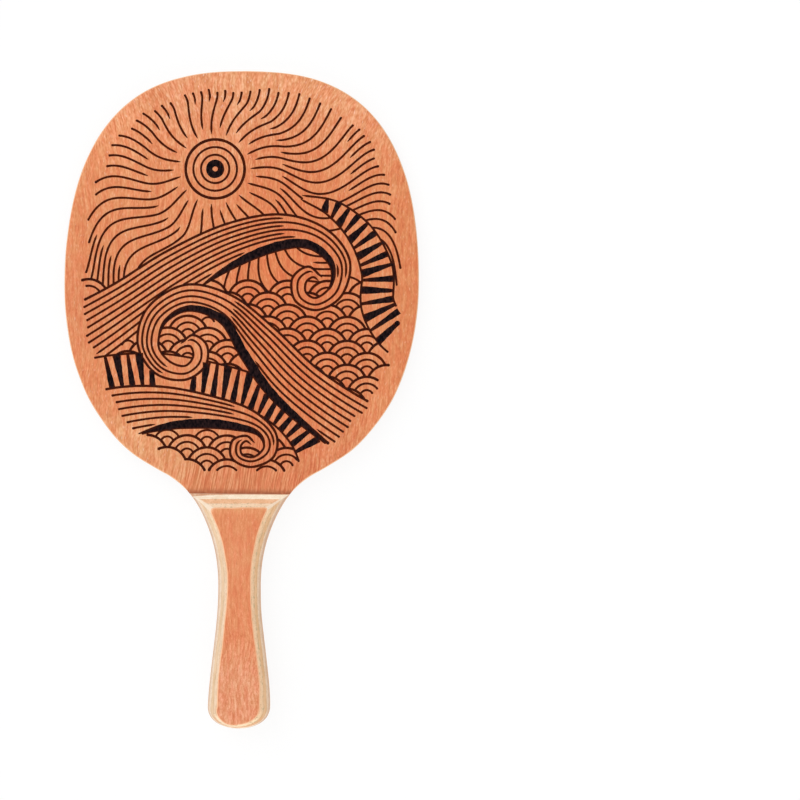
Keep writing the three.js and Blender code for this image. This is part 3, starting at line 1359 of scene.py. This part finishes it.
class Graph(Nodes):
    """The nodes of one of the racket's materials, around one Principled shader."""

    shift_shares = (1.0, 0.7, 1.3)

    def __init__(self, name: str) -> None:
        """Starts a material with a Principled shader and coordinates in millimetres.

        Args:
            name: the material's name.
        """
        self.material = bpy.data.materials.new(name)
        self.material.use_nodes = True
        super().__init__(self.material.node_tree)
        self.shader = self.tree.nodes["Principled BSDF"]
        self.spots = self.add("ShaderNodeTexCoord")
        self.place = self.vector("MULTIPLY", self.spots.outputs["Object"], (1 / MM, 1 / MM, 1 / MM))

    def parts(self, vector: Socket) -> tuple[Socket, Socket, Socket]:
        """Splits a vector into its three numbers."""
        first = self.fed(self.add("ShaderNodeSeparateXYZ"), vector)
        return tuple(first.node.outputs)

    def length(self, vector: Socket) -> Socket:
        """Gives a vector's length."""
        return self.vector("LENGTH", vector).node.outputs["Value"]

    def whereabouts(self) -> tuple[Socket, Socket, Socket]:
        """Gives X, the height over the butt end and Z, in mm."""
        x, y, z = self.parts(self.place)
        return x, self.math("ADD", y, OUTLINE.length / 2), z

    def noise(self, figure: Figure, place: Socket | None = None) -> Socket:
        """Gives a figure's noise.

        Args:
            figure: the noise pattern.
            place: the place in it, where that isn't the surface's own.

        Returns:
            A number about zero.
        """
        at = self.vector("MULTIPLY", place or self.place, tuple(1 / size for size in figure.cell))
        shift = tuple(figure.shift * share for share in self.shift_shares)
        node = self.add("ShaderNodeTexNoise")
        self.feed(node.inputs["Vector"], self.vector("ADD", at, shift))
        self.feed(node.inputs["Scale"], 1.0)
        self.feed(node.inputs["Detail"], figure.detail)
        return self.math("SUBTRACT", node.outputs["Fac"], 0.5)

    def worn(self) -> Socket:
        """Gives how worn the wood is, with a painted highlight along the mitres, or how thin the ink.
        """
        return self.add("ShaderNodeAttribute", attribute_name=WORN).outputs["Fac"]

    def finish(
        self, colour: Socket, roughness: Socket, relief: Socket, depth: float
    ) -> bpy.types.Material:
        """Joins the looks to the shader.

        Args:
            colour: the surface's colour.
            roughness: its roughness.
            relief: how far it stands out.
            depth: the depth in mm that a relief of 1 has.

        Returns:
            The finished material.
        """
        bump = self.add("ShaderNodeBump")
        for socket, value in (
            (bump.inputs["Strength"], 1.0),
            (bump.inputs["Distance"], depth * MM),
            (bump.inputs["Height"], relief),
            (self.shader.inputs["Base Color"], colour),
            (self.shader.inputs["Roughness"], roughness),
            (self.shader.inputs["Normal"], bump.outputs[0]),
        ):
            self.feed(socket, value)
        return self.material


@dataclass(frozen=True)
class Zone:
    """A part of a sheet of veneer with a tint of its own, which fades out round its middle."""

    middle: tuple[float, float]
    reach: tuple[float, float]
    tint: Colour


@dataclass(frozen=True)
class Layer:
    """A layer of the grain: its figure and how strong it is.

    It has one strength in general, one where the grain runs in long lines and one where it runs in
    short flecks.
    """

    figure: Figure
    usual: float
    in_lines: float
    in_flecks: float


@dataclass(frozen=True)
class VeneerFinish:
    """Red-brown veneer with its grain along the racket.

    Its tone drifts along the racket, at heights in mm from the butt end, and over a few zones. The
    grain runs in long lines low in the sheet's middle, which lean over there, and in short flecks
    high in it, where it fans out. Its cut edges are paler or duller than its face. Just above the
    shoulder it may get a painted shadow with some dark glue, where the scales meet the blade.
    """

    name: str
    dark: Colour = (0.590, 0.149, 0.039)
    middle: Colour = (0.712, 0.228, 0.081)
    light: Colour = (0.845, 0.343, 0.158)
    edge: Colour = (0.90, 0.50, 0.28)
    edged: tuple[float, float] = (0.72, 0.93)
    tones: tuple[float, float, float] = (0.22, 0.50, 0.78)
    drift: tuple[tuple[float, Colour], ...] = (
        (140.0, (0.92, 0.89, 0.92)), (190.0, WHITE), (320.0, WHITE), (374.0, (1.06, 1.21, 1.44)),
    )
    zones: tuple[Zone, ...] = ()
    zone_fade: tuple[float, float] = (0.3, 1.2)
    layers: tuple[Layer, ...] = (
        Layer(Figure((15, 120, 15), 1, 3.1), 0.3, 0.3, 0.3),
        Layer(Figure((1.05, 30, 1.05), 1, 7.7), 0.45, 0.55, 0.45),
        Layer(Figure((0.66, 16, 0.66), 1, 23.0), 0.0, 1.25, 0.0),
        Layer(Figure((1.15, 6.5, 1.15), 1, 12.4), 0.75, 0.2, 0.4),
        Layer(Figure((1.0, 3.4, 1.0), 1, 14.9), 0.0, 0.0, 0.6),
        Layer(Figure((0.62, 2.1, 0.62), 1, 19.0), 0.75, 0.4, 0.75),
    )
    contrast: tuple[tuple[float, float], ...] = ((0.0, 1.0), (380.0, 1.0))
    lined: tuple[float, float] = (210.0, 168.0)
    lined_slope: float = 0.9
    flecked: tuple[float, float] = (295.0, 345.0)
    wander: tuple[tuple[Figure, float], ...] = (
        (Figure((30, 30, 30), 0, 2.0), 6.0), (Figure((11, 17, 11), 0, 4.0), 1.3),
    )
    neck_top: float = 190.0
    lean: float = 0.0
    crown_foot: float = 300.0
    crown_reach: float = 80.0
    fan: float = 0.0
    patches: Figure = Figure((2.4, 9, 2.4), 1, 61.0)
    patched: float = 0.16
    warm: Colour = (1.0, 1.10, 1.12)
    cool: Colour = (1.0, 0.91, 0.88)
    # Painted shadow with some dark glue, just above the shoulder where the scales meet the blade.
    glue_and_shadow_at: float | None = None
    glue_and_shadow_reach: tuple[float, float] = (-0.6, 3.9)
    glue_and_shadow_figure: Figure = Figure((3, 2, 3), 1, 51.0)
    glue_and_shadow_patches: tuple[float, float, float, float] = (-0.3, 0.1, 0.6, 1.0)
    glue_and_shadow_colour: Colour = (0.30, 0.072, 0.018)
    pore_figure: Figure = Figure((0.5, 4.5, 0.5), 1, 31.0)
    pore: Colour = (0.46, 0.12, 0.045)
    pores: float = 0.3
    fleck_figure: Figure = Figure((0.7, 3.0, 0.7), 1, 43.0)
    fleck: Colour = (0.95, 0.57, 0.42)
    flecks: float = 0.4
    lined_flecks: float = 0.3
    spotted: tuple[float, float] = (0.13, 0.25)
    nick_figure: Figure = Figure((1.5, 1.5, 1.5), 0, 71.0)
    nick_spread: tuple[float, float] = (0.33, 0.36)
    nick: Colour = (0.95, 0.74, 0.56)
    nicked: tuple[float, float] | None = None
    roughness: tuple[float, float, float, float] = (-0.2, 0.2, 0.5, 0.64)
    raised: float = 0.7
    depth: float = 0.03

    def shared(self) -> bpy.types.Material:
        """Gives the one material that all plies of this veneer have, and makes it for the first."""
        return bpy.data.materials.get(self.name) or self.material()

    def bent(self, g: Graph, x: Socket, height: Socket) -> Socket:
        """Gives the place in the grain: it wanders, leans over in the neck and fans out in the crown.

        Args:
            g: the material's nodes.
            x: X in mm.
            height: the height over the butt end.

        Returns:
            The place.
        """
        wander = g.total(*((g.noise(figure), reach) for figure, reach in self.wander))
        below = g.math("MAXIMUM", g.math("SUBTRACT", self.neck_top, height), 0.0)
        above = g.math("MAXIMUM", g.math("SUBTRACT", height, self.crown_foot), 0.0)
        lean = g.times(g.math("POWER", below, 2.0), self.lean)
        fan = g.times(g.math("POWER", above, 2.0), -self.fan / self.crown_reach**2)
        aside = g.total((wander, 1.0), (lean, 1.0), (g.times(x, fan), 1.0))
        return g.vector("ADD", g.place, g.fed(g.add("ShaderNodeCombineXYZ"), aside))

    def grain(self, g: Graph, along: Socket, lined: Socket, flecked: Socket) -> Socket:
        """Adds up the layers of the grain.

        Args:
            g: the material's nodes.
            along: the place in the grain.
            lined: how far the grain runs in long lines.
            flecked: how far it runs in short flecks.

        Returns:
            The grain's tone, about zero.
        """
        terms = []
        for layer in self.layers:
            in_lines, in_flecks = layer.in_lines - layer.usual, layer.in_flecks - layer.usual
            weight = g.math("ADD", g.total((lined, in_lines), (flecked, in_flecks)), layer.usual)
            terms.append(g.times(g.noise(layer.figure, along), weight))
        grain = terms[0]
        for term in terms[1:]:
            grain = g.math("ADD", grain, term)
        return grain

    def tinted(self, g: Graph, wood: Socket, along: Socket, height: Socket) -> Socket:
        """Gives the wood its drift along the racket, its zones and its small patches.

        Args:
            g: the material's nodes.
            wood: the wood's colour.
            along: the place in the grain.
            height: the height over the butt end.

        Returns:
            The tinted colour.
        """
        reach = OUTLINE.length
        stops = tuple((at / reach, tint) for at, tint in self.drift)
        wood = g.tint(wood, g.ramp(g.math("DIVIDE", height, reach), stops))
        for zone in self.zones:
            x, y = zone.middle
            off = g.vector("SUBTRACT", along, (x, y - reach / 2, 0.0))
            distance = g.length(g.vector("DIVIDE", off, (*zone.reach, reach)))
            share = g.spread(distance, *self.zone_fade, 1.0, 0.0)
            wood = g.blend(share, wood, g.tint(wood, zone.tint))
        hue = g.spread(g.noise(self.patches, along), -self.patched, self.patched)
        return g.tint(wood, g.blend(hue, self.warm, self.cool))

    def material(self) -> bpy.types.Material:
        """Makes the veneer's material.

        Returns:
            The material.
        """
        g = Graph(self.name)
        x, height, _ = g.whereabouts()
        along = self.bent(g, x, height)
        off_neck = g.total((height, 1.0), (g.math("ABSOLUTE", x), self.lined_slope))
        lined, flecked = g.spread(off_neck, *self.lined), g.spread(height, *self.flecked)
        grain = self.grain(g, along, lined, flecked)
        stops = tuple((at / OUTLINE.length, (level, level, level)) for at, level in self.contrast)
        contrast = g.ramp(g.math("DIVIDE", height, OUTLINE.length), stops)
        tone = g.math("ADD", g.times(grain, contrast), 0.5)
        wood = g.ramp(tone, tuple(zip(self.tones, (self.dark, self.middle, self.light))))
        pores = g.spread(g.noise(self.pore_figure, along), *self.spotted)
        wood = g.blend(g.times(pores, self.pores), wood, self.pore)
        flecks = g.spread(g.noise(self.fleck_figure, along), *self.spotted)
        share = g.math("ADD", g.times(lined, (self.lined_flecks - 1) * self.flecks), self.flecks)
        wood = g.blend(g.times(flecks, share), wood, self.fleck)
        wood = self.tinted(g, wood, along, height)
        if self.nicked is not None:
            nicks = g.spread(g.noise(self.nick_figure), *self.nick_spread)
            wood = g.blend(g.times(nicks, g.spread(height, *self.nicked)), wood, self.nick)
        # Painted shadow with some dark glue, darkening the wood just above the shoulder.
        if self.glue_and_shadow_at is not None:
            low, high = (self.glue_and_shadow_at + reach for reach in self.glue_and_shadow_reach)
            uneven = g.spread(g.noise(self.glue_and_shadow_figure), *self.glue_and_shadow_patches)
            near = g.times(g.spread(height, low, high, 1.0, 0.0), uneven)
            wood = g.blend(near, wood, self.glue_and_shadow_colour)
        flat = g.math("ABSOLUTE", g.parts(g.spots.outputs["Normal"])[2])
        wood = g.blend(g.spread(flat, *self.edged, 1.0, 0.0), wood, self.edge)
        relief = g.math("SUBTRACT", g.times(grain, self.raised), pores)
        return g.finish(wood, g.spread(grain, *self.roughness), relief, self.depth)


@dataclass(frozen=True)
class PlyFinish:
    """Sanded edge of an inner ply, whose end grain is darker than its long grain.

    Its left and right sides each have a tint of painted light and shade at the ply's foot,
    beside the tang, where painted shade darkens it, and one at its crest. The foot gets more painted
    shade towards the throat, and the butt end has a tint of painted light of its own. What faces a
    way is told by the surface's direction: 0 is square to that way, and 1 is straight along it.
    """

    name: str
    along: bool
    long_grain: Colour
    end_grain: Colour
    # Tints of painted light and shade, chosen by the way each surface faces.
    left: tuple[Colour, Colour]
    right: tuple[Colour, Colour]
    throat: Colour = WHITE
    throat_shade_reach: tuple[float, float] = (80.0, 118.0)
    butt: Colour = WHITE
    end_facing: tuple[float, float] = (0.3, 0.62)
    left_facing: tuple[float, float] = (-0.1, -0.4)
    right_facing: tuple[float, float] = (0.1, 0.4)
    butt_facing: tuple[float, float] = (-0.5, -0.1)
    shade: Colour = (0.92, 0.88, 0.82)
    lift: Colour = (1.03, 1.08, 1.12)
    tones: tuple[float, float] = (-0.22, 0.22)
    weights: tuple[float, float, float] = (0.7, 0.5, 0.8)
    streak: tuple[float, float] = (26.0, 0.75)
    cells: Figure = Figure((0.5, 0.5, 0.5), 1, 9.0)
    clouds: Figure = Figure((4, 7, 1.6), 2, 17.0)
    dots: Figure = Figure((1.5, 2.8, 1.0), 2, 37.0)
    dotted: tuple[float, float] = (0.03, 0.17)
    dot_depth: tuple[float, float] = (0.25, 1.0)
    dot_sides: tuple[float, float, float, float] = (-0.4, 0.4, 0.6, 1.3)
    speck: Colour = (0.38, 0.31, 0.15)
    specks: float = 0.35
    glue: Colour = (0.45, 0.27, 0.15)
    glue_depth: float = 0.22
    glue_figure: Figure = Figure((2.2, 2.2, 0.8), 1, 29.0)
    glue_patches: tuple[float, float] = (-0.12, 0.12)
    glued: float = 0.35
    # Worn wood with a painted highlight along the mitres.
    rubbed_highlight: Colour = (0.95, 0.82, 0.67)
    rubbed_highlight_share: float = 0.6
    roughness: tuple[float, float, float, float] = (-0.2, 0.2, 0.58, 0.72)
    depth: float = 0.04

    def painted_side_light(self, g: Graph, wood: Socket, normal: tuple[Socket, Socket], rise: Socket) -> Socket:
        """Paints light and shade on the left and right sides and on the butt end.

        Args:
            g: the material's nodes.
            wood: the wood's colour.
            normal: the surface's direction across the racket and along it.
            rise: how far up the ply a place is, from its foot to its crest.

        Returns:
            The tinted colour.
        """
        across, lengthways = normal
        # Painted shade: the foot darkens towards the throat, under the blade's flare.
        throat = g.blend(g.spread(g.whereabouts()[1], *self.throat_shade_reach), WHITE, self.throat)
        # Painted light and shade on each side: darker at the foot beside the tang, lighter at the
        # crest.
        for (foot, crest), facing in ((self.left, self.left_facing), (self.right, self.right_facing)):
            tint = g.blend(rise, g.tint(throat, foot), crest)
            wood = g.tint(wood, g.blend(g.spread(across, *facing), WHITE, tint))
        # Painted light on the faces turned to the butt end.
        return g.tint(wood, g.blend(g.spread(lengthways, *self.butt_facing), self.butt, WHITE))

    def material(self, node: str) -> bpy.types.Material:
        """Makes the finish for one ply.

        Args:
            node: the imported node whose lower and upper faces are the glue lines.

        Returns:
            The material.
        """
        g = Graph(f"{self.name}_of_{node}")
        low, high = (corner.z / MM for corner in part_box(node))
        _, _, level = g.whereabouts()
        across, lengthways, _ = g.parts(g.spots.outputs["Normal"])
        ended = g.spread(g.math("ABSOLUTE", lengthways if self.along else across), *self.end_facing)
        long, thin = self.streak
        streaks = Figure((thin, long, thin) if self.along else (long, thin, thin), 2, 5.0)
        cells = g.noise(self.cells)
        tone = g.total(*zip((g.noise(streaks), cells, g.noise(self.clouds)), self.weights))
        wood = g.blend(ended, self.long_grain, self.end_grain)
        light = g.spread(tone, *self.tones)
        wood = g.blend(light, g.tint(wood, self.shade), g.tint(wood, self.lift))
        is_front = low > (BACK_LEVEL + FRONT_LEVEL) / 2
        rise = g.spread(level, *((low, high) if is_front else (high, low)))
        wood = self.painted_side_light(g, wood, (across, lengthways), rise)
        near = g.math("MINIMUM", g.math("SUBTRACT", level, low), g.math("SUBTRACT", high, level))
        patchy = g.spread(g.noise(self.glue_figure), *self.glue_patches)
        line = g.times(g.spread(near, 0.0, self.glue_depth, 1.0, 0.0), patchy)
        wood = g.blend(g.times(line, self.glued), wood, self.glue)
        specks = g.spread(g.noise(self.dots), *self.dotted)
        specks = g.times(specks, g.spread(near, *self.dot_depth, self.specks, 0.0))
        wood = g.blend(g.times(specks, g.spread(across, *self.dot_sides)), wood, self.speck)
        # Worn wood with a painted highlight along the mitres.
        wood = g.blend(g.times(g.worn(), self.rubbed_highlight_share), wood, self.rubbed_highlight)
        return g.finish(wood, g.spread(cells, *self.roughness), tone, self.depth)


@dataclass(frozen=True)
class InkFinish:
    """Matte black ink, thinner over the raised grain and browner in the thin lines."""

    name: str = "black_ink"
    dark: Colour = (0.002, 0.001, 0.002)
    light: Colour = (0.022, 0.010, 0.010)
    tones: tuple[float, float] = (0.36, 0.68)
    thin: Colour = (0.064, 0.0095, 0.0015)
    mottles: Figure = Figure((1.1, 2.2, 1.1), 1, 3.0)
    patches: Figure = Figure((5, 7, 5), 1, 13.0)
    patched: tuple[float, float, float, float] = (-0.2, 0.2, 0.65, 1.0)
    roughness: tuple[float, float, float, float] = (-0.2, 0.2, 0.48, 0.62)
    shine: float = 0.03
    depth: float = 0.01

    def material(self) -> bpy.types.Material:
        """Makes the ink's material.

        Returns:
            The material.
        """
        g = Graph(self.name)
        mottle = g.noise(self.mottles)
        colour = g.ramp(g.math("ADD", mottle, 0.5), tuple(zip(self.tones, (self.dark, self.light))))
        patchy = g.spread(g.noise(self.patches), *self.patched)
        colour = g.blend(g.times(g.worn(), patchy), colour, self.thin)
        g.feed(g.shader.inputs["Specular IOR Level"], self.shine)
        return g.finish(colour, g.spread(mottle, *self.roughness), mottle, self.depth)


@dataclass(frozen=True)
class Finishes:
    """The finishes of the racket's plies and of its ink."""

    blade_face: VeneerFinish = VeneerFinish(
        "blade_veneer",
        zones=(
            Zone((26.0, 238.0), (46.0, 110.0), (0.96, 0.77, 0.63)),
            Zone((92.0, 270.0), (40.0, 110.0), (0.96, 0.92, 0.85)),
            Zone((-100.0, 243.0), (28.0, 36.0), (0.95, 0.89, 0.88)),
            Zone((-57.0, 156.0), (48.0, 30.0), (1.07, 1.34, 1.47)),
            Zone((-82.0, 350.0), (44.0, 34.0), (1.05, 1.07, 1.07)),
            Zone((24.0, 372.0), (50.0, 22.0), (1.02, 1.10, 1.11)),
        ),
        contrast=((150.0, 1.2), (185.0, 0.85), (250.0, 0.68), (310.0, 0.82), (345.0, 1.1)),
        lean=0.002,
        fan=0.25,
        glue_and_shadow_at=SHOULDER,
    )
    handle_face: VeneerFinish = VeneerFinish(
        "handle_veneer",
        drift=((32.0, (1.03, 1.20, 1.56)), (42.0, (1.02, 1.13, 1.36)), (52.0, (1.0, 1.0, 1.08)),
               (70.0, (1.0, 0.98, 1.03)), (95.0, (1.0, 1.03, 1.11)), (118.0, (0.99, 0.98, 1.03)),
               (123.5, (1.0, 1.06, 1.12)), (127.0, (1.04, 1.28, 1.42))),
        contrast=((36.0, 0.98), (60.0, 0.62), (95.0, 0.46)),
        lined=(380.0, 400.0),
        layers=(*VeneerFinish.layers, Layer(Figure((0.6, 0.9, 0.6), 1, 27.0), 0.5, 0.5, 0.5)),
        edged=(0.88, 0.9985),
        warm=(1.0, 1.08, 1.09),
        cool=(1.0, 0.92, 0.92),
        pore=(0.53, 0.12, 0.045),
        pores=0.42,
        fleck=(0.93, 0.45, 0.24),
        flecks=0.35,
        nicked=(104.0, 112.0),
    )
    hidden_veneer: VeneerFinish = VeneerFinish(
        "inner_veneer", (0.64, 0.33, 0.18), (0.72, 0.39, 0.22), (0.80, 0.47, 0.29), (0.70, 0.42, 0.26)
    )
    # The left, right, throat and butt tints of these plies are painted light and shade.
    pale: PlyFinish = PlyFinish(
        "pale_ply", False, (1.0, 0.845, 0.65), (0.90, 0.65, 0.445),
        left=((0.815, 0.825, 0.89), (0.955, 1.02, 1.13)),
        right=((0.80, 0.765, 0.79), (0.955, 0.95, 0.965)),
        throat=(0.90, 0.85, 0.86), specks=0.15,
    )
    tawny: PlyFinish = PlyFinish(
        "tawny_ply", False, (0.92, 0.665, 0.45), (0.92, 0.65, 0.43),
        left=((0.89, 0.90, 0.93), (0.93, 0.92, 0.945)),
        right=((0.90, 0.84, 0.765), (1.03, 0.965, 0.89)),
        butt=(1.10, 1.17, 1.18), specks=0.5,
    )
    core: PlyFinish = PlyFinish(
        "core_ply", True, (0.86, 0.565, 0.335), (0.89, 0.51, 0.292),
        left=((0.925, 0.965, 1.02), (0.925, 0.965, 1.02)),
        right=((0.94, 0.87, 0.79), (0.925, 0.85, 0.765)),
    )
    ink: InkFinish = InkFinish()


@dataclass
class Studio:
    """White floor, plain soft light and the camera over the racket.

    The camera's place is worked out from where the racket lies in the photograph's frame.
    """

    frame_pixels: float = 800.0
    butt_pixel: tuple[float, float] = (238.58, 728.4)
    racket_pixels: float = 658.0
    tilt: float = math.radians(0.439)
    lens: float = 250.0
    sensor: float = 36.0
    clip: tuple[float, float] = (0.01, 50.0)
    level: float = FRONT_LEVEL
    ambient: float = 0.74
    lamps: tuple[tuple[str, float, tuple[float, float, float]], ...] = (
        ("window", 0.21, (-0.45, 0.50, 0.74)),
        ("fill", 0.11, (0.0, -0.90, 0.436)),
    )
    lamp_size: float = math.radians(50)
    floor_size: float = 30.0
    floor_shade: Colour = (0.94, 0.94, 0.94)
    floor_glow: float = 0.88
    rest: float = 127.0

    def camera(self) -> None:
        """Hangs the camera over the photograph's middle, looking straight down."""
        pixel = OUTLINE.length / self.racket_pixels
        across = (self.frame_pixels / 2 - self.butt_pixel[0]) * pixel
        up = (self.butt_pixel[1] - self.frame_pixels / 2) * pixel
        turn = Matrix.Rotation(self.tilt, 3, "Z")
        middle = turn @ Vector((across, up, 0)) + Vector((0, -OUTLINE.length / 2, 0))
        height = self.level + self.frame_pixels * pixel * self.lens / self.sensor
        data = bpy.data.cameras.new("camera")
        data.lens = self.lens
        data.sensor_width = self.sensor
        data.clip_start, data.clip_end = self.clip
        camera = placed("camera", data)
        camera.location = (middle.x * MM, middle.y * MM, height * MM)
        camera.rotation_euler = (0, 0, self.tilt)
        bpy.context.scene.camera = camera

    def light(self) -> None:
        """Lights the racket all round, and a little more from the upper left and from below."""
        world = bpy.data.worlds.new("room")
        bpy.context.scene.world = world
        world.use_nodes = True
        nodes = Nodes(world.node_tree)
        background = nodes.tree.nodes["Background"]
        strength = nodes.spread(nodes.seen(), 0.0, 1.0, self.ambient, 1.0)
        nodes.fed(background, WHITE, strength)
        for name, level, direction in self.lamps:
            data = bpy.data.lights.new(name, "SUN")
            data.energy = level * math.pi / direction[2]
            data.angle = self.lamp_size
            turn = Vector(direction).to_track_quat("Z", "Y")
            placed(name, data).rotation_euler = turn.to_euler()

    def floor(self) -> None:
        """Lays a white floor that meets the handle and the blade's tip, as a table does.

        What the camera sees of it glows in part, so that it is white and its shadow is faint.
        """
        rest, tip = ((height - OUTLINE.length / 2) * MM for height in (self.rest, OUTLINE.length))
        size = self.floor_size
        mesh = bpy.data.meshes.new("floor")
        corners = [(-size, -size, 0), (size, -size, 0), (size, size, 0), (-size, size, 0)]
        mesh.from_pydata(corners, [], [(0, 1, 2, 3)])
        floor = placed("floor", mesh)
        floor.location = (0, rest, 0)
        floor.rotation_euler = (math.atan2(BACK_LEVEL * MM, tip - rest), 0, 0)
        material = bpy.data.materials.new("white_floor")
        material.use_nodes = True
        nodes = Nodes(material.node_tree)
        nodes.tree.nodes.remove(nodes.tree.nodes["Principled BSDF"])
        seen = nodes.seen()
        matt = nodes.fed(nodes.add("ShaderNodeBsdfDiffuse"), nodes.blend(seen, self.floor_shade, WHITE))
        glow = nodes.fed(nodes.add("ShaderNodeEmission"), WHITE)
        share = nodes.times(seen, self.floor_glow)
        mixed = nodes.fed(nodes.add("ShaderNodeMixShader"), share, matt, glow)
        nodes.feed(nodes.tree.nodes["Material Output"].inputs["Surface"], mixed)
        mesh.materials.append(material)


def main() -> None:
    logging.basicConfig(level=logging.INFO, format="%(name)s: %(message)s")
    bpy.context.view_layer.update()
    finishes = Finishes()
    for board in (BladeBoard(), HandleScale(Side.BACK), HandleScale(Side.FRONT)):
        board.dress(board.build(), finishes)
    line_print = LinePrint()
    line_print.dress(line_print.build(), finishes)
    studio = Studio()
    studio.camera()
    studio.light()
    studio.floor()
    bpy.context.scene.view_settings.view_transform = "Standard"


if __name__ == "__main__":
    main()
